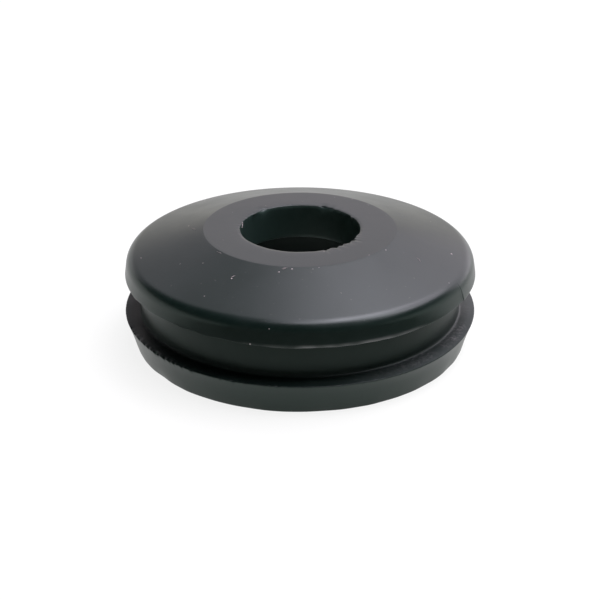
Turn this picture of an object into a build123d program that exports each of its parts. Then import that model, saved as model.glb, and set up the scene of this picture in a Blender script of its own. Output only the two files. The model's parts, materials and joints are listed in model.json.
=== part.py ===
"""Rubber grommet: one moulded ring that lines a panel hole and seals around a tube or cable.

The bore axis is +Z. The origin is the centre of the foot, the flat ring that the grommet rests on.
All lengths are millimetres, and all angles are degrees.
"""

from build123d import *
from math import cos, radians, tan
import os

# Bore, and the wall that surrounds the hollow underside
bore_diameter = 10.0
wall_thickness = 3.0

# Groove that grips the edge of the panel
neck_diameter = 27.0
groove_width = 3.3

# Foot, the tapered flange that is squeezed through the panel hole
foot_thickness = 2.8
foot_overhang = 1.35
foot_taper = 16.0

# Head, the sloping crown with a rounded rim and a flat collar round the bore
rim_thickness = 1.6
rim_overhang = 1.2
rim_draft = 8.5
rim_round = 0.9
crown_slope = 16.5
collar_width = 3.05
collar_round = 0.4

# Hollow underside, drafted so that it leaves its mould core
core_draft = 2.0
core_round = 1.0
cut_overrun = 1.0

# Radii, measured from the bore axis
bore_radius = bore_diameter / 2
collar_radius = bore_radius + collar_width
neck_radius = neck_diameter / 2
foot_edge_radius = neck_radius + foot_overhang
foot_base_radius = foot_edge_radius - foot_thickness * tan(radians(foot_taper))
rim_radius = neck_radius + rim_overhang
crown_radius = rim_radius - rim_thickness * tan(radians(rim_draft))

# Levels, measured up from the foot
rim_level = foot_thickness + groove_width
crown_level = rim_level + rim_thickness
collar_level = crown_level + (crown_radius - collar_radius) * tan(radians(crown_slope))

# The hollow keeps the wall's thickness under the collar, under the crown and behind the neck
ceiling_level = collar_level - wall_thickness
ceiling_radius = collar_radius - wall_thickness * tan(radians(crown_slope / 2))
eaves_level = ceiling_level - (foot_edge_radius - ceiling_radius) * tan(radians(crown_slope))
skirt_radius = neck_radius - wall_thickness
slope_run = (skirt_radius - ceiling_radius) / cos(radians(crown_slope))
mouth_level = -cut_overrun
mouth_radius = skirt_radius + (ceiling_level - mouth_level) * tan(radians(core_draft))

with BuildPart() as grommet:
    # Solid blank: foot, grooved neck and sloping head, turned about the bore axis
    with BuildSketch(Plane.XZ) as blank:
        with BuildLine():
            Polyline(
                (0, 0),
                (foot_base_radius, 0),
                (foot_edge_radius, foot_thickness),
                (neck_radius, foot_thickness),
                (neck_radius, rim_level),
                (rim_radius, rim_level),
                (crown_radius, crown_level),
                (collar_radius, collar_level),
                (0, collar_level),
                close=True,
            )
        make_face()
        fillet(blank.vertices().sort_by_distance((crown_radius, crown_level))[0], rim_round)
        fillet(blank.vertices().sort_by_distance((collar_radius, collar_level))[0], collar_round)
    revolve(axis=Axis.Z)

    # Hollow underside: the space below the ceiling, kept within the drafted skirt wall
    with BuildSketch(Plane.XZ) as hollow:
        with BuildLine():
            Polyline(
                (0, mouth_level),
                (foot_edge_radius, mouth_level),
                (foot_edge_radius, eaves_level),
                (ceiling_radius, ceiling_level),
                (0, ceiling_level),
                close=True,
            )
        make_face()
        with BuildLine():
            Polyline(
                (0, mouth_level),
                (mouth_radius, mouth_level),
                (skirt_radius, ceiling_level),
                (0, ceiling_level),
                close=True,
            )
        make_face(mode=Mode.INTERSECT)
        # The ceiling meets the skirt at the outermost corner but for the mouth
        fillet(hollow.vertices().sort_by(Axis.X)[-2], min(core_round, slope_run))
    revolve(axis=Axis.Z, mode=Mode.SUBTRACT)

    # Bore through the collar, open to the hollow below
    Hole(radius=bore_radius)

grommet.part.label = "grommet"

os.makedirs("parts", exist_ok=True)
export_step(grommet.part, "parts/grommet.step")
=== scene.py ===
import json
import math
import random

import bpy
import numpy as np
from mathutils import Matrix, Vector, noise
from mathutils.bvhtree import BVHTree


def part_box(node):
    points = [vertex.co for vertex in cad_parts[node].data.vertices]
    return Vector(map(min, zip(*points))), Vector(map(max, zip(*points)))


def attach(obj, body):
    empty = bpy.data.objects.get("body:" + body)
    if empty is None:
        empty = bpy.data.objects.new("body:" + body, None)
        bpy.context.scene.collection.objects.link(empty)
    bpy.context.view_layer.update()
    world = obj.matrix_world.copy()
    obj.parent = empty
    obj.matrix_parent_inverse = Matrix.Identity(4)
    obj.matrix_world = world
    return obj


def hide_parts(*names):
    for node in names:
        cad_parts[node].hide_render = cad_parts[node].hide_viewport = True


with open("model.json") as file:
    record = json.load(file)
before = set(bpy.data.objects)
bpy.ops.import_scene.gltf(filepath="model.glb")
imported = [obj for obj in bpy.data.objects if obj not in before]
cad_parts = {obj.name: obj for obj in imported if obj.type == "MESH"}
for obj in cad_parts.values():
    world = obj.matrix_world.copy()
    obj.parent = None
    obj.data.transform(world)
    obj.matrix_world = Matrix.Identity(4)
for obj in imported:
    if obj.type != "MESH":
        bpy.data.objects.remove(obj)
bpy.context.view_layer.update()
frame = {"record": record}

scene = bpy.context.scene
scene.view_settings.view_transform = "Standard"

# Camera: a short step from the part and a little above it, at the photograph's angle.
# The frame is square, and the lens is long enough to leave the part a wide margin.
camera_elevation = math.radians(25.72)
camera_distance = 0.1147
camera_aim = Vector((0.0, 0.0, 0.00287))
camera_back = Vector((0.0, -math.cos(camera_elevation), math.sin(camera_elevation)))
camera_data = bpy.data.cameras.new("camera")
camera_data.lens = 80.37
camera_data.sensor_width = 36.0
camera_data.clip_start = 0.001
camera = bpy.data.objects.new("camera", camera_data)
camera.location = camera_aim + camera_back * camera_distance
camera.rotation_euler = camera_back.to_track_quat("Z", "Y").to_euler()
scene.collection.objects.link(camera)
scene.camera = camera

# Moulding: one piece of black rubber, pressed hot in a mould that parts at the rim's lower edge and at the
# foot's upper edge. The flash there and round the bore's mouth was torn off by hand, so these edges are
# ragged, and the split of the mould's middle ring shows as a seam across the rim.
millimetre = 0.001
mounts = {mount["name"]: mount for mount in frame["record"]["mounts"]}
bore_radius = mounts["bore"]["dims"]["r_mm"] * millimetre
wall_thickness = mounts["bore"]["dims"]["length_mm"] * millimetre
neck_radius = mounts["panel_groove"]["dims"]["r_mm"] * millimetre
groove_width = mounts["panel_groove"]["dims"]["length_mm"] * millimetre
foot_level = mounts["panel_groove"]["pos_m"][2] - groove_width / 2
rim_level = mounts["panel_groove"]["pos_m"][2] + groove_width / 2
grommet_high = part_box("grommet")[1]
collar_level = grommet_high[2]
foot_edge_radius = grommet_high[0]
foot_taper = math.radians(16.0)
rim_overhang = 1.2 * millimetre
rim_thickness = 1.6 * millimetre
rim_draft = math.radians(8.5)
crown_slope = math.radians(16.5)
collar_width = 3.05 * millimetre
core_draft = math.radians(2.0)

foot_base_radius = foot_edge_radius - foot_level * math.tan(foot_taper)
rim_radius = neck_radius + rim_overhang
crown_radius = rim_radius - rim_thickness * math.tan(rim_draft)
crown_level = rim_level + rim_thickness
collar_radius = bore_radius + collar_width
ceiling_level = collar_level - wall_thickness
ceiling_radius = collar_radius - wall_thickness * math.tan(crown_slope / 2)
skirt_radius = neck_radius - wall_thickness
eaves_level = ceiling_level - (skirt_radius - ceiling_radius) * math.tan(crown_slope)
mouth_radius = skirt_radius + ceiling_level * math.tan(core_draft)

# Corners of the section, from the bore's mouth outwards, down and back through the hollow: radius, level,
# rounding in millimetres, steps on the rounding, steps on the straight run that follows
section_corners = [
    (bore_radius, collar_level, 0.06, 3, 5),
    (collar_radius, collar_level, 0.4, 4, 9),
    (crown_radius, crown_level, 1.1, 10, 4),
    (rim_radius, rim_level, 0.025, 5, 4),
    (neck_radius, rim_level, 0.2, 3, 4),
    (neck_radius, foot_level, 0.2, 4, 5),
    (foot_edge_radius, foot_level, 0.05, 4, 7),
    (foot_base_radius, 0.0, 0.15, 4, 5),
    (mouth_radius, 0.0, 0.1, 3, 5),
    (skirt_radius, eaves_level, 1.0, 4, 3),
    (ceiling_radius, ceiling_level, 0.4, 2, 3),
    (bore_radius, ceiling_level, 0.08, 3, 5),
]


def rounded_section(corners):
    """Points (radius, level) round the closed section, close together beside every corner."""
    arcs = []
    for before, corner, after in zip(corners[-1:] + corners[:-1], corners, corners[1:] + corners[:1]):
        here = Vector(corner[:2])
        rounding = corner[2] * millimetre
        back = (Vector(before[:2]) - here).normalized()
        ahead = (Vector(after[:2]) - here).normalized()
        half_angle = back.angle(ahead) / 2
        inwards = (back + ahead).normalized()
        sideways = (ahead - back).normalized()
        centre = here + inwards * rounding / math.sin(half_angle)
        arc = []
        for step in range(corner[3] + 1):
            swing = (math.pi / 2 - half_angle) * (2 * step / corner[3] - 1)
            arc.append(centre + (sideways * math.sin(swing) - inwards * math.cos(swing)) * rounding)
        arcs.append(arc)
    points = []
    for corner, arc, next_arc in zip(corners, arcs, arcs[1:] + arcs[:1]):
        points += arc
        for step in range(1, corner[4]):
            share = (1 - math.cos(math.pi * step / corner[4])) / 2
            points.append(arc[-1].lerp(next_arc[0], share))
    return np.array([tuple(point) for point in points])


section = rounded_section(section_corners)
section_radii = section[:, 0]
section_levels = section[:, 1]

# Columns of the mesh stand closer together beside the seam, so that it stays a thin line
seam_azimuth = -29.0
seam_band = np.linspace(-0.2, 0.6, 60) * millimetre
even_columns = np.linspace(-math.pi, math.pi, 850, endpoint=False)
seam_columns = math.radians(seam_azimuth) + seam_band / rim_radius
azimuths = np.sort(np.concatenate([even_columns, seam_columns]))
ring_x = np.cos(azimuths)
ring_y = np.sin(azimuths)
radii = np.tile(section_radii, (len(azimuths), 1))
levels = np.tile(section_levels, (len(azimuths), 1))


# Edges are worked with wavelengths, widths, reaches and pulls in millimetres, and azimuths in degrees
def ripple(radius, wavelength, seed):
    """Smooth unevenness, about -0.6 to 0.6, at each column round a ring of that radius."""
    offset = Vector((0.0, 0.0, seed))
    heights = []
    for x, y in zip(ring_x, ring_y):
        place = Vector((radius * x, radius * y, 0.0)) / (wavelength * millimetre)
        heights.append(noise.noise(place + offset))
    return np.array(heights)


def arc_from(azimuth, radius):
    """Distance along the ring from an azimuth in degrees to each column, counted anticlockwise."""
    turn = (azimuths - math.radians(azimuth) + math.pi) % (2 * math.pi) - math.pi
    return turn * radius


def hump(azimuth, half_width, radius, power=2):
    """A hump at each column: 1 at an azimuth, falling away along the ring. A high power flattens its top."""
    return np.exp(-((arc_from(azimuth, radius) / (half_width * millimetre)) ** power))


def near_edge(radius, level, reach):
    """How near each point of the section is to an edge: 1 on it, falling away within the reach."""
    gap = np.hypot(section_radii - radius, section_levels - level)
    return np.exp(-((gap / (reach * millimetre)) ** 2))


def near_level(level, reach):
    """How near each point of the section is to a level: 1 on it, falling away within the reach."""
    return np.exp(-(((section_levels - level) / (reach * millimetre)) ** 2))


def pull_edge(radius, level, direction, reach, pull):
    """Pulls an edge of the section along a direction, by its own number of millimetres at each column."""
    shift = np.outer(pull, near_edge(radius, level, reach)) * millimetre
    radii[...] += direction[0] * shift
    levels[...] += direction[1] * shift


# Bore's mouth: a torn edge, roughest at the front right. Nicks and burrs: azimuth, half width, depth
mouth_reach = 0.1
mouth_wear = 0.02
fine_tear = 0.05
broad_tear = 0.04
rough_tear = 0.16
deepest_nick = 0.3
nick_direction = (0.9, -0.4)
burr_direction = (-1.0, -0.1)
mouth_nicks = [
    (66, 0.34, 0.16), (58, 0.2, 0.1), (128, 0.35, 0.12),
    (-66, 0.1, 0.12), (-54, 0.13, 0.1), (-31, 0.2, 0.1),
]
mouth_burrs = [
    (141, 0.3, 0.1), (154, 0.5, 0.06), (-60, 0.12, 0.12),
    (-45, 0.3, 0.09), (-20, 0.3, 0.1), (28, 0.16, 0.14),
]
mouth_bite = mouth_wear + fine_tear * np.abs(ripple(bore_radius, wavelength=0.5, seed=1.0))
mouth_bite += broad_tear * ripple(bore_radius, wavelength=1.6, seed=2.0)
mouth_bite += rough_tear * ripple(bore_radius, wavelength=0.3, seed=3.0) * hump(-42, 2.4, bore_radius)
for azimuth, half_width, depth in mouth_nicks:
    mouth_bite += depth * hump(azimuth, half_width, bore_radius)
pull_edge(bore_radius, collar_level, nick_direction, mouth_reach, np.clip(mouth_bite, 0.0, deepest_nick))
mouth_flap = np.zeros(len(azimuths))
for azimuth, half_width, depth in mouth_burrs:
    mouth_flap += depth * hump(azimuth, half_width, bore_radius)
pull_edge(bore_radius, collar_level, burr_direction, mouth_reach, mouth_flap)

# Rim's lower edge: a thin lip of flash hangs from it at the front, trimmed a little unevenly, with some
# ragged remains at the left
downwards = (0.0, -1.0)
lip_reach = 0.12
lip_length = 0.19
longest_lip = 0.3
fine_trim = 0.03
broad_trim = 0.05
share_all_round = 0.05
lip_remains = 0.2
rim_lip = lip_length + fine_trim * ripple(rim_radius, wavelength=0.8, seed=4.0)
rim_lip += broad_trim * ripple(rim_radius, wavelength=3.5, seed=5.0)
rim_lip *= share_all_round + (1 - share_all_round) * hump(-75, 9.5, rim_radius, power=4)
rim_lip += lip_remains * ripple(rim_radius, wavelength=1.6, seed=13.0) * hump(-135, 7, rim_radius)
pull_edge(rim_radius, rim_level, downwards, lip_reach, np.clip(rim_lip, 0.0, longest_lip))

# Foot's upper edge: it droops a little, most at the right, and its torn flash leaves small teeth, most of
# them at the left
droop_reach = 0.5
front_droop = 0.1
right_droop = 0.09
tooth_reach = 0.1
tooth_direction = (-0.6, -0.8)
edge_wear = 0.02
fine_tooth = 0.25
broad_tooth = 0.08
deepest_tooth = 0.13
front_share = 0.4
foot_droop = front_droop * hump(-90, 20, foot_edge_radius, power=4)
foot_droop += right_droop * hump(-50, 6.5, foot_edge_radius)
pull_edge(foot_edge_radius, foot_level, downwards, droop_reach, foot_droop)
ragged = hump(-143, 6.5, foot_edge_radius)
ragged += front_share * hump(-86, 11.0, foot_edge_radius)
foot_tooth = fine_tooth * ripple(foot_edge_radius, wavelength=0.26, seed=6.0)
foot_tooth += broad_tooth * ripple(foot_edge_radius, wavelength=0.9, seed=7.0)
foot_bite = np.clip(ragged * (edge_wear + foot_tooth), 0.0, deepest_tooth)
pull_edge(foot_edge_radius, foot_level, tooth_direction, tooth_reach, foot_bite)

# Foot's side: very slightly hollow below the torn lip, with a wavy lower edge that has one dent at the left
side_sink = 0.05 * millimetre
base_reach = 0.5
base_direction = (-1.0, 0.1)
base_wear = 0.03
wave_depth = 0.05
dent_depth = 0.1
deepest_wave = 0.2
on_foot_side = (section_radii > neck_radius) & (section_levels < foot_level)
side_hollow = side_sink * np.sin(np.pi * np.clip(section_levels / foot_level, 0, 1))
radii -= (side_hollow * on_foot_side)[None, :]
base_wave = base_wear + wave_depth * ripple(foot_base_radius, wavelength=1.6, seed=9.0)
base_wave += wave_depth * ripple(foot_base_radius, wavelength=5.0, seed=10.0)
base_wave += dent_depth * hump(-142, 1.2, foot_base_radius)
pull_edge(foot_base_radius, 0.0, base_direction, base_reach, np.clip(base_wave, 0.0, deepest_wave))

# Seam: a fine cut that leans across the rim, with a low ridge on both sides. The rubber on its right stands
# a little proud a long way round, because the two sides of the mould did not meet exactly.
seam_lean = 0.4 * millimetre
right_ridge = 0.07
left_ridge = 0.075
ridge_reach = 0.8 * millimetre
ridge_rise = 1.3
proud_height = 0.04
proud_reach = 14 * millimetre
cut_depth = 0.03
cut_width = 0.04 * millimetre
level_slack = 1e-6
down_the_rim = np.clip((crown_level - section_levels) / rim_thickness, 0, 1)
down_the_rim *= np.clip((section_radii - neck_radius) / rim_overhang, 0, 1)
down_the_rim *= section_levels > rim_level - level_slack
seam_arc = arc_from(seam_azimuth, rim_radius)[:, None] - seam_lean * down_the_rim[None, :]
seam_gap = np.abs(seam_arc)
seam_right = right_ridge * np.exp(-seam_gap / ridge_reach)
seam_right += proud_height * np.exp(-((seam_gap / proud_reach) ** 2))
seam_left = left_ridge * np.exp(-seam_gap / ridge_reach)
seam_ridge = np.where(seam_arc > 0, seam_right, seam_left) * np.clip(down_the_rim * ridge_rise, 0, 1)
seam_cut = cut_depth * np.exp(-((seam_gap / cut_width) ** 2)) * np.sqrt(down_the_rim)
radii += (seam_ridge - seam_cut) * millimetre

# Head: the crown and the collar sink by a few microns here and there
head_sink = 0.006 * millimetre
head_wave = 3.5 * millimetre
on_head = np.clip((section_levels - crown_level) / rim_thickness, 0, 1) * (section_radii > bore_radius)
for column, (x, y) in enumerate(zip(ring_x, ring_y)):
    for point in np.nonzero(on_head)[0]:
        place = Vector((section_radii[point] * x, section_radii[point] * y, 0.0)) / head_wave
        levels[column, point] -= on_head[point] * head_sink * (1 + noise.noise(place))

columns, points_per_column = radii.shape
places = np.stack([radii * ring_x[:, None], radii * ring_y[:, None], levels], axis=2).reshape(-1, 3)
index = np.arange(columns * points_per_column).reshape(columns, points_per_column)
next_column = np.roll(index, -1, axis=0)
next_point = np.roll(index, -1, axis=1)
quads = np.stack([index, next_point, np.roll(next_column, -1, axis=1), next_column], axis=2).reshape(-1, 4)
moulding_mesh = bpy.data.meshes.new("moulding")
moulding_mesh.from_pydata(places.tolist(), [], quads.tolist())
moulding_mesh.shade_smooth()
moulding = bpy.data.objects.new("moulding", moulding_mesh)
scene.collection.objects.link(moulding)


def wear_and_light_layer(name, values):
    """Keeps a share from 0 to 1 at each point of the moulding for its material: how worn it is, or how much
    painted light it carries.
    """
    layer = moulding_mesh.attributes.new(name, "FLOAT", "POINT")
    layer.data.foreach_set("value", np.broadcast_to(values, (columns, points_per_column)).ravel())


# Polish: handling has smoothed the rounded rim
polish_reach = 0.75
wear_and_light_layer("polish", near_edge(crown_radius, crown_level, polish_reach))

# Dull: the groove keeps its mould's finish, most in its corner at the left. The foot's upper face is dull at
# its far left and at its right, where its torn edge is dullest. A start runs from -1, left, to 1, right.
edge_margin = 0.3 * millimetre
groove_finish = 0.25
corner_reach = 0.3
corner_finish = 0.75
corner_start = 0.2
face_reach = 0.05
left_finish = 0.68
left_start = -0.86
left_fade = 0.08
right_finish = 0.7
torn_reach = 0.09
in_groove = (section_levels > foot_level - level_slack) & (section_levels < rim_level + level_slack)
in_groove &= section_radii > skirt_radius
below_rim = np.clip((rim_radius - section_radii) / edge_margin, 0, 1)
groove_corner = in_groove * near_edge(neck_radius, foot_level, corner_reach)
left_half = np.clip(corner_start - ring_x, 0, corner_finish)
groove_dull = groove_finish * in_groove * below_rim + np.outer(left_half, groove_corner)
foot_face = near_level(foot_level, face_reach) * (section_radii > neck_radius)
far_left = np.clip((left_start - ring_x) / left_fade, 0, 1)
face_left = left_finish * np.outer(far_left, foot_face)
right_stretch = hump(-40, 8.0, neck_radius, power=4)
face_right = right_finish * np.outer(right_stretch, foot_face)
edge_right = np.outer(right_stretch, near_edge(foot_edge_radius, foot_level, torn_reach))
wear_and_light_layer("dull", np.maximum.reduce([groove_dull, face_left, face_right, edge_right]))

# Pale: a painted highlight along the lip at the rim's lower edge, in uneven patches at the front
pale_reach = 0.075
pale_mean = 0.75
pale_fine = 0.7
pale_broad = 0.5
lip_highlight = pale_mean + pale_fine * ripple(rim_radius, wavelength=1.2, seed=11.0)
lip_highlight += pale_broad * ripple(rim_radius, wavelength=6.0, seed=12.0)
lip_highlight = np.clip(lip_highlight, 0, 1) * hump(-76, 6.5, rim_radius, power=4)
wear_and_light_layer("pale", np.outer(lip_highlight, near_edge(rim_radius, rim_level, pale_reach)))

# Scuffed: the foot's upper face at the right, but for a margin at its edge, left black as painted shade
# under the torn lip
scuff_reach = 0.03
scuff_start = 0.4
scuff_mean = 0.5
scuff_fine = 0.6
scuff_broad = 0.8
scuff_strength = 0.5
inside_edge = np.clip((foot_edge_radius - section_radii) / edge_margin - scuff_start, 0, 1)
scuffed_face = near_level(foot_level, scuff_reach) * (section_radii > neck_radius) * inside_edge
scuffed = scuff_mean + scuff_fine * ripple(neck_radius, wavelength=0.9, seed=14.0)
scuffed += scuff_broad * ripple(neck_radius, wavelength=2.2, seed=15.0)
scuffed = np.clip(scuffed, 0, 1) * (scuff_strength * hump(-34, 6.0, neck_radius))
wear_and_light_layer("scuffed", np.outer(scuffed, scuffed_face))

# Bore: the bore's wall, painted a little lighter than the moulded faces, as painted light inside the bore
wall_margin = 0.05 * millimetre
in_bore = (section_radii < bore_radius + wall_margin) & (section_levels < collar_level - wall_margin)
wear_and_light_layer("bore_light", in_bore * 1.0)

rubber = bpy.data.materials.new("black_rubber")
rubber.use_nodes = True
rubber_nodes = rubber.node_tree.nodes
rubber_links = rubber.node_tree.links
rubber_shader = rubber_nodes["Principled BSDF"]
rubber_shader.inputs["IOR"].default_value = 1.40
rubber_shader.inputs["Specular Tint"].default_value = (0.82, 1.0, 0.92, 1)
rubber_place = rubber_nodes.new("ShaderNodeTexCoord")


def rubber_noise(size, detail, roughness):
    """Noise over the rubber, with features of about that size in millimetres."""
    node = rubber_nodes.new("ShaderNodeTexNoise")
    node.inputs["Scale"].default_value = 1 / (size * millimetre)
    node.inputs["Detail"].default_value = detail
    node.inputs["Roughness"].default_value = roughness
    rubber_links.new(rubber_place.outputs["Object"], node.inputs["Vector"])
    return node.outputs["Fac"]


def rubber_range(value, span, result):
    """Maps a span of a changing value to a result, low to low and high to high, and stops at its ends."""
    node = rubber_nodes.new("ShaderNodeMapRange")
    node.inputs["From Min"].default_value = span[0]
    node.inputs["From Max"].default_value = span[1]
    node.inputs["To Min"].default_value = result[0]
    node.inputs["To Max"].default_value = result[1]
    rubber_links.new(value, node.inputs["Value"])
    return node.outputs["Result"]


def rubber_math(operation, first, second):
    """Joins two changing values."""
    node = rubber_nodes.new("ShaderNodeMath")
    node.operation = operation
    rubber_links.new(first, node.inputs[0])
    rubber_links.new(second, node.inputs[1])
    return node.outputs["Value"]


def rubber_blend(share, first, second):
    """Blends two colours by a changing share. A colour is a plain value or another node's output."""
    node = rubber_nodes.new("ShaderNodeMix")
    node.data_type = "RGBA"
    rubber_links.new(share, node.inputs["Factor"])
    for socket, colour in ((node.inputs["A"], first), (node.inputs["B"], second)):
        if isinstance(colour, tuple):
            socket.default_value = colour
        else:
            rubber_links.new(colour, socket)
    return node.outputs["Result"]


def rubber_wear_and_light(name):
    """Reads one of the moulding's layers of wear or painted light."""
    node = rubber_nodes.new("ShaderNodeAttribute")
    node.attribute_name = name
    return node.outputs["Fac"]


# Dust lies in patches on what faces up
rubber_facing = rubber_nodes.new("ShaderNodeSeparateXYZ")
rubber_links.new(rubber_place.outputs["Normal"], rubber_facing.inputs["Vector"])
facing_up = rubber_range(rubber_facing.outputs["Z"], span=(0.2, 0.9), result=(0.0, 1.0))
patch_noise = rubber_noise(size=5.0, detail=3, roughness=0.5)
dust_patches = rubber_range(patch_noise, span=(0.4, 0.65), result=(0.1, 1.0))
speck_noise = rubber_noise(size=0.34, detail=2, roughness=0.5)
dust_specks = rubber_range(speck_noise, span=(0.70, 0.78), result=(0.0, 0.5))
dusty = rubber_math("MULTIPLY", dust_specks, rubber_math("MULTIPLY", facing_up, dust_patches))

# Colour: a mottled greenish black, painted lighter in the bore as painted light, with a painted highlight in
# grey on the rim's lower lip, and grey where it is scuffed or dusty
deep_black = (0.0032, 0.0095, 0.0070, 1)
worn_black = (0.0055, 0.0125, 0.0100, 1)
bore_light_black = (0.018, 0.036, 0.029, 1)
highlight_and_scuff_grey = (0.150, 0.156, 0.150, 1)
dust_grey = (0.11, 0.11, 0.10, 1)
mottle = rubber_noise(size=2.4, detail=4, roughness=0.55)
mottle_span = (0.3, 0.7)
scratch_noise = rubber_noise(size=0.28, detail=3, roughness=0.7)
scratches = rubber_range(scratch_noise, span=(0.45, 0.62), result=(0.0, 1.0))
worn_share = rubber_range(mottle, span=mottle_span, result=(0.0, 1.0))
black = rubber_blend(worn_share, deep_black, worn_black)
# The bore's wall is painted lighter, as painted light
black = rubber_blend(rubber_wear_and_light("bore_light"), black, bore_light_black)
# The rim's lower lip gets a painted highlight in grey
black = rubber_blend(rubber_wear_and_light("pale"), black, highlight_and_scuff_grey)
black = rubber_blend(rubber_math("MULTIPLY", rubber_wear_and_light("scuffed"), scratches), black, highlight_and_scuff_grey)
rubber_links.new(rubber_blend(dusty, black, dust_grey), rubber_shader.inputs["Base Color"])

# Finish: a soft sheen, tighter on the polished rim and wider on what is dull or dusty
rough = rubber_range(mottle, span=mottle_span, result=(0.32, 0.37))
smoother = rubber_range(rubber_wear_and_light("polish"), span=(0.0, 1.0), result=(0.0, 0.05))
rough = rubber_math("SUBTRACT", rough, smoother)
duller = rubber_range(rubber_wear_and_light("dull"), span=(0.0, 1.0), result=(0.0, 0.36))
rough = rubber_math("ADD", rough, duller)
dustier = rubber_range(dusty, span=(0.0, 0.5), result=(0.0, 0.2))
rough = rubber_math("ADD", rough, dustier)
rubber_links.new(rough, rubber_shader.inputs["Roughness"])

# Grain: the fine texture of the mould's face
rubber_bump = rubber_nodes.new("ShaderNodeBump")
rubber_bump.inputs["Strength"].default_value = 0.12
rubber_bump.inputs["Distance"].default_value = 0.01 * millimetre
rubber_grain = rubber_noise(size=0.16, detail=3, roughness=0.6)
rubber_links.new(rubber_grain, rubber_bump.inputs["Height"])
rubber_links.new(rubber_bump.outputs["Normal"], rubber_shader.inputs["Normal"])
moulding_mesh.materials.append(rubber)

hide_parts("grommet")
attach(moulding, "root")

# Lint: pale fibres and flakes of dust that cling to the rubber, with one white chip at the bore's left edge.
# Each was found on the photograph, and a line from the camera through that place finds it on the rubber.
# Spots: pixels across and down the frame, size in millimetres, and a fibre's heading in degrees
frame_pixels = 600
longest_flake = 0.2
lint_spots = [
    (141, 258, 0.13, 0), (180, 264, 0.085, 0), (203, 263, 0.085, 0), (219, 252.5, 0.45, -20),
    (188.5, 226, 0.12, 0), (193.5, 229, 0.42, -28), (233, 276.6, 0.36, 25), (231.5, 278.5, 0.15, 0),
    (285, 268, 0.5, 10), (284, 269, 0.32, 14), (279, 272, 0.13, 0), (292, 269, 0.13, 0),
    (204.5, 296, 0.08, 0), (223, 240, 0.07, 0), (313, 269, 0.065, 0), (319, 267.5, 0.08, 0),
    (369, 255, 0.085, 0), (386, 250, 0.11, 0), (419, 260, 0.46, -52), (451.5, 254, 0.18, 0),
    (449, 283, 0.075, 0), (341, 293, 0.045, 0), (269, 328.5, 0.065, 0), (250, 344, 0.16, 0),
    (242, 223, 0.2, 0), (242, 225, 0.2, 0), (242.2, 227, 0.2, 0), (242.4, 225, 0.5, 82),
    (324, 251.6, 0.09, 0), (352, 218.5, 0.12, 0),
]
lint_random = random.Random(7)
lint_tree = BVHTree.FromPolygons(places.tolist(), quads.tolist())
frame_turn = camera.rotation_euler.to_matrix()
frame_right = frame_turn.col[0]
frame_up = frame_turn.col[1]
frame_scale = camera_data.sensor_width / camera_data.lens / frame_pixels
lint_points = []
lint_faces = []


def lay_fibre(place, normal, length, heading):
    """Lays a thin bent fibre on the rubber, with its heading as the frame shows it."""
    steps = 6
    sides = 3
    end_thickness = 0.009 * millimetre
    middle_thickness = 0.025 * millimetre
    lift = 0.8
    most_bend = 0.25
    along = frame_right * math.cos(heading) + frame_up * math.sin(heading)
    along = along - camera_back * along.dot(normal) / camera_back.dot(normal)
    across = normal.cross(along).normalized()
    bend = lint_random.uniform(-most_bend, most_bend)
    first = len(lint_points)
    for step in range(steps + 1):
        run = step / steps - 0.5
        thickness = end_thickness + (middle_thickness - end_thickness) * (1 - 4 * run * run)
        path = (along * run + across * bend * (run * run - 0.1)) * length
        middle = place + path + normal * thickness * lift
        lint_points.append(middle + across * thickness)
        lint_points.append(middle + normal * thickness)
        lint_points.append(middle - across * thickness)
    for step in range(steps):
        for side in range(sides):
            corner = first + sides * step + side
            beside = first + sides * step + (side + 1) % sides
            lint_faces.append((corner, beside, beside + sides, corner + sides))
    last = first + sides * steps
    lint_faces.append((first, first + 2, first + 1))
    lint_faces.append((last, last + 1, last + 2))


def lay_flake(place, normal, width):
    """Lays a small uneven flake on the rubber."""
    corners = 7
    height = 0.22
    lift = 0.03
    unevenness = (0.7, 1.2)
    along = normal.orthogonal().normalized()
    across = normal.cross(along)
    first = len(lint_points)
    lint_points.append(place + normal * width * height)
    for corner in range(corners):
        turn = math.tau * corner / corners
        reach = width / 2 * lint_random.uniform(*unevenness)
        spoke = along * math.cos(turn) + across * math.sin(turn)
        lint_points.append(place + spoke * reach + normal * width * lift)
    for corner in range(corners):
        lint_faces.append((first, first + 1 + corner, first + 1 + (corner + 1) % corners))
    lint_faces.append([first + corners - corner for corner in range(corners)])


for across_frame, down_frame, size, heading in lint_spots:
    aside = frame_right * (across_frame - frame_pixels / 2) + frame_up * (frame_pixels / 2 - down_frame)
    ray = (aside * frame_scale - camera_back).normalized()
    place, normal = lint_tree.ray_cast(camera.location, ray)[:2]
    if size > longest_flake:
        lay_fibre(place, normal, size * millimetre, math.radians(heading))
    else:
        lay_flake(place, normal, size * millimetre)

# The sides that the photograph does not show carry a little dust too
dust_flakes = 46
dust_azimuths = (20, 160)
dust_reaches = (5.6, 14.2)
dust_widths = (0.03, 0.07)
fall_height = 0.03
for flake in range(dust_flakes):
    turn = math.radians(lint_random.uniform(*dust_azimuths))
    reach = lint_random.uniform(*dust_reaches) * millimetre
    above = Vector((reach * math.cos(turn), reach * math.sin(turn), fall_height))
    place, normal = lint_tree.ray_cast(above, Vector((0, 0, -1)))[:2]
    lay_flake(place, normal, lint_random.uniform(*dust_widths) * millimetre)

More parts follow.
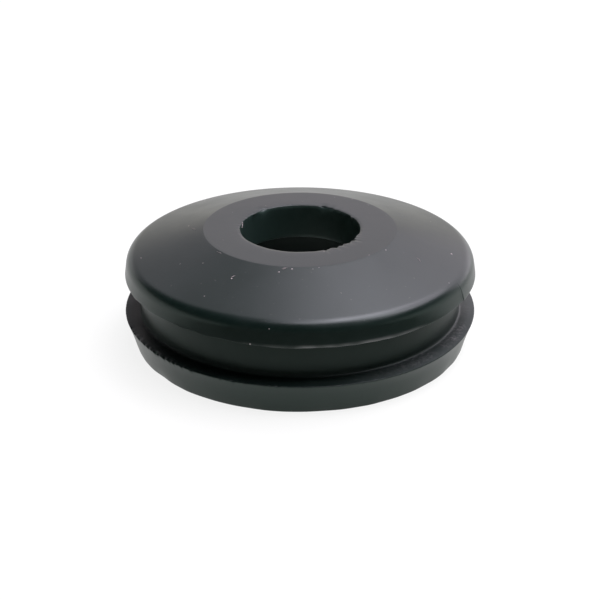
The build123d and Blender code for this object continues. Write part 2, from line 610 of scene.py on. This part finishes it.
# Lint on the flat collar is pressed down to it
lint_points = [(point.x, point.y, min(point.z, collar_level)) for point in lint_points]
lint_mesh = bpy.data.meshes.new("lint")
lint_mesh.from_pydata(lint_points, [], lint_faces)
lint = bpy.data.objects.new("lint", lint_mesh)
scene.collection.objects.link(lint)
lint_grey = (0.26, 0.255, 0.24, 1)
lint_white = (0.50, 0.49, 0.46, 1)
lint_paint = bpy.data.materials.new("pale_lint")
lint_paint.use_nodes = True
lint_nodes = lint_paint.node_tree.nodes
lint_links = lint_paint.node_tree.links
lint_shader = lint_nodes["Principled BSDF"]
lint_shader.inputs["Roughness"].default_value = 0.9
lint_tone = lint_nodes.new("ShaderNodeTexNoise")
lint_tone.inputs["Scale"].default_value = 700.0
lint_ramp = lint_nodes.new("ShaderNodeValToRGB")
lint_ramp.color_ramp.elements[0].position = 0.35
lint_ramp.color_ramp.elements[0].color = lint_grey
lint_ramp.color_ramp.elements[1].position = 0.65
lint_ramp.color_ramp.elements[1].color = lint_white
lint_links.new(lint_tone.outputs["Fac"], lint_ramp.inputs["Fac"])
lint_links.new(lint_ramp.outputs["Color"], lint_shader.inputs["Base Color"])
lint_mesh.materials.append(lint_paint)
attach(lint, "root")

# Floor: a plain pale sheet, flat round the part and curved up far away, so that no view meets its end.
# The eye and reflections see it mostly as white paper, and for the rest as it is lit, so that it keeps the
# part's soft shadow. Its colour balances the tint of the lamps.
floor_reach = 1.47
floor_curve = 0.23
floor_top = 0.40
floor_white_share = 0.86
floor_colour = (0.78, 0.91, 0.79, 1)
floor_columns = 64
curve_steps = 8
floor_profile = [(floor_reach, 0.0)]
for step in range(1, curve_steps + 1):
    turn = math.pi / 2 * step / curve_steps
    floor_profile.append((floor_reach + floor_curve * math.sin(turn), floor_curve * (1 - math.cos(turn))))
floor_profile.append((floor_reach + floor_curve, floor_top))
floor_rows = len(floor_profile)
floor_points = []
for column in range(floor_columns):
    turn = math.tau * column / floor_columns
    for radius, level in floor_profile:
        floor_points.append((radius * math.cos(turn), radius * math.sin(turn), level))
floor_faces = [[column * floor_rows for column in range(floor_columns)]]
for column in range(floor_columns):
    beside = (column + 1) % floor_columns * floor_rows
    for row in range(floor_rows - 1):
        here = column * floor_rows + row
        floor_faces.append((here, here + 1, beside + row + 1, beside + row))
floor_mesh = bpy.data.meshes.new("floor")
floor_mesh.from_pydata(floor_points, [], floor_faces)
floor_mesh.shade_smooth()
floor = bpy.data.objects.new("floor", floor_mesh)
scene.collection.objects.link(floor)
floor_paint = bpy.data.materials.new("pale_floor")
floor_paint.use_nodes = True
floor_nodes = floor_paint.node_tree.nodes
floor_links = floor_paint.node_tree.links
floor_shader = floor_nodes["Principled BSDF"]
floor_shader.inputs["Base Color"].default_value = floor_colour
floor_shader.inputs["Roughness"].default_value = 0.9
floor_glow = floor_nodes.new("ShaderNodeEmission")
floor_glow.inputs["Color"].default_value = (1, 1, 1, 1)
floor_glow.inputs["Strength"].default_value = 1.0


def floor_math(operation, first, second):
    """Joins two values of the floor's nodes. Each is an output or a plain number."""
    node = floor_nodes.new("ShaderNodeMath")
    node.operation = operation
    for socket, value in zip(node.inputs, (first, second)):
        if isinstance(value, float):
            socket.default_value = value
        else:
            floor_links.new(value, socket)
    return node.outputs["Value"]


# The floor inside the foot's ring stays as it is lit, so that the hollow is dark
light_path = floor_nodes.new("ShaderNodeLightPath")
seen = floor_math("MAXIMUM", light_path.outputs["Is Camera Ray"], light_path.outputs["Is Glossy Ray"])
seen = floor_math("MAXIMUM", seen, light_path.outputs["Is Transmission Ray"])
floor_place = floor_nodes.new("ShaderNodeNewGeometry")
floor_radius = floor_nodes.new("ShaderNodeVectorMath")
floor_radius.operation = "LENGTH"
floor_links.new(floor_place.outputs["Position"], floor_radius.inputs[0])
foot_middle = neck_radius - wall_thickness / 2
beyond_foot = floor_math("GREATER_THAN", floor_radius.outputs["Value"], foot_middle)
floor_mix = floor_nodes.new("ShaderNodeMixShader")
floor_share = floor_math("MULTIPLY", floor_math("MULTIPLY", seen, beyond_foot), floor_white_share)
floor_links.new(floor_share, floor_mix.inputs["Fac"])
floor_links.new(floor_shader.outputs["BSDF"], floor_mix.inputs[1])
floor_links.new(floor_glow.outputs["Emission"], floor_mix.inputs[2])
floor_links.new(floor_mix.outputs["Shader"], floor_nodes["Material Output"].inputs["Surface"])
floor_mesh.materials.append(floor_paint)

# Dark card: a low dark screen that stands in an arc round the front and slopes down at both ends.
# Only reflections show it: it gives the rim's side and the neck their dark bands.
card_radius = 0.022
card_height = 0.0088
card_left = math.radians(-78)
card_right = math.radians(84)
card_columns = 36
card_slope = 3.2
card_points = []
for column in range(card_columns + 1):
    share = column / card_columns
    turn = card_left + (card_right - card_left) * share
    top = card_height * min(1.0, card_slope * share, card_slope * (1 - share))
    for level in (0.0, top):
        card_points.append((card_radius * math.sin(turn), -card_radius * math.cos(turn), level))
card_faces = []
for column in range(card_columns):
    foot = 2 * column
    card_faces.append((foot, foot + 1, foot + 3, foot + 2))
card_mesh = bpy.data.meshes.new("dark_card")
card_mesh.from_pydata(card_points, [], card_faces)
dark_card = bpy.data.objects.new("dark_card", card_mesh)
scene.collection.objects.link(dark_card)
card_paint = bpy.data.materials.new("card_black")
card_paint.use_nodes = True
card_shader = card_paint.node_tree.nodes["Principled BSDF"]
card_shader.inputs["Base Color"].default_value = (0.10, 0.10, 0.09, 1)
card_shader.inputs["Roughness"].default_value = 0.9
card_mesh.materials.append(card_paint)
dark_card.visible_camera = False
dark_card.visible_diffuse = False
dark_card.visible_shadow = False

# Studio light: oval soft boxes on a dome round the part, the strongest high on the right and the others
# mostly behind it, with one weak box in front. The dim world fills what they leave.
box_distance = 0.6
cool_white = (1.0, 0.875, 1.0)
violet_white = (1.0, 0.838, 1.0)
warm_white = (1.0, 0.80, 0.60)


def soft_box(name, azimuth, elevation, size, watts, tint):
    """Soft box that faces the part. Azimuth 0 is straight behind the part, and 90 is its right."""
    turn = math.radians(azimuth)
    lift = math.radians(elevation)
    away = Vector((math.sin(turn) * math.cos(lift), math.cos(turn) * math.cos(lift), math.sin(lift)))
    lamp = bpy.data.lights.new(name, "AREA")
    lamp.shape = "ELLIPSE"
    lamp.size = size[0]
    lamp.size_y = size[1]
    lamp.energy = watts
    lamp.color = tint
    box = bpy.data.objects.new(name, lamp)
    box.location = away * box_distance
    box.rotation_euler = away.to_track_quat("Z", "Y").to_euler()
    box.visible_camera = False
    scene.collection.objects.link(box)


soft_box("key", azimuth=65, elevation=58, size=(0.50, 0.50), watts=3.2, tint=violet_white)
soft_box("overhead", azimuth=130, elevation=83, size=(0.25, 0.25), watts=1.1, tint=violet_white)
soft_box("side", azimuth=102, elevation=52, size=(0.30, 0.30), watts=0.54, tint=cool_white)
soft_box("top_right", azimuth=100, elevation=69, size=(0.30, 0.30), watts=0.58, tint=violet_white)
soft_box("back_top", azimuth=15, elevation=72, size=(0.25, 0.25), watts=0.49, tint=violet_white)
soft_box("key_top", azimuth=55, elevation=68, size=(0.22, 0.22), watts=0.82, tint=violet_white)
soft_box("back_right", azimuth=42, elevation=22, size=(0.50, 0.45), watts=0.956, tint=cool_white)
soft_box("back", azimuth=0, elevation=25, size=(0.35, 0.30), watts=0.29, tint=cool_white)
soft_box("back_low", azimuth=0, elevation=8, size=(0.60, 0.20), watts=0.10, tint=warm_white)
soft_box("back_left", azimuth=325, elevation=24, size=(0.40, 0.35), watts=0.18, tint=cool_white)
soft_box("back_high", azimuth=15, elevation=50, size=(0.40, 0.40), watts=0.721, tint=cool_white)
soft_box("back_left_high", azimuth=329, elevation=47, size=(0.32, 0.32), watts=0.21, tint=cool_white)
soft_box("front_right", azimuth=140, elevation=50, size=(0.40, 0.40), watts=0.164, tint=cool_white)

world = bpy.data.worlds.new("studio")
world.use_nodes = True
world_light = world.node_tree.nodes["Background"]
world_light.inputs["Color"].default_value = (1, 1, 1, 1)
world_light.inputs["Strength"].default_value = 0.01
scene.world = world
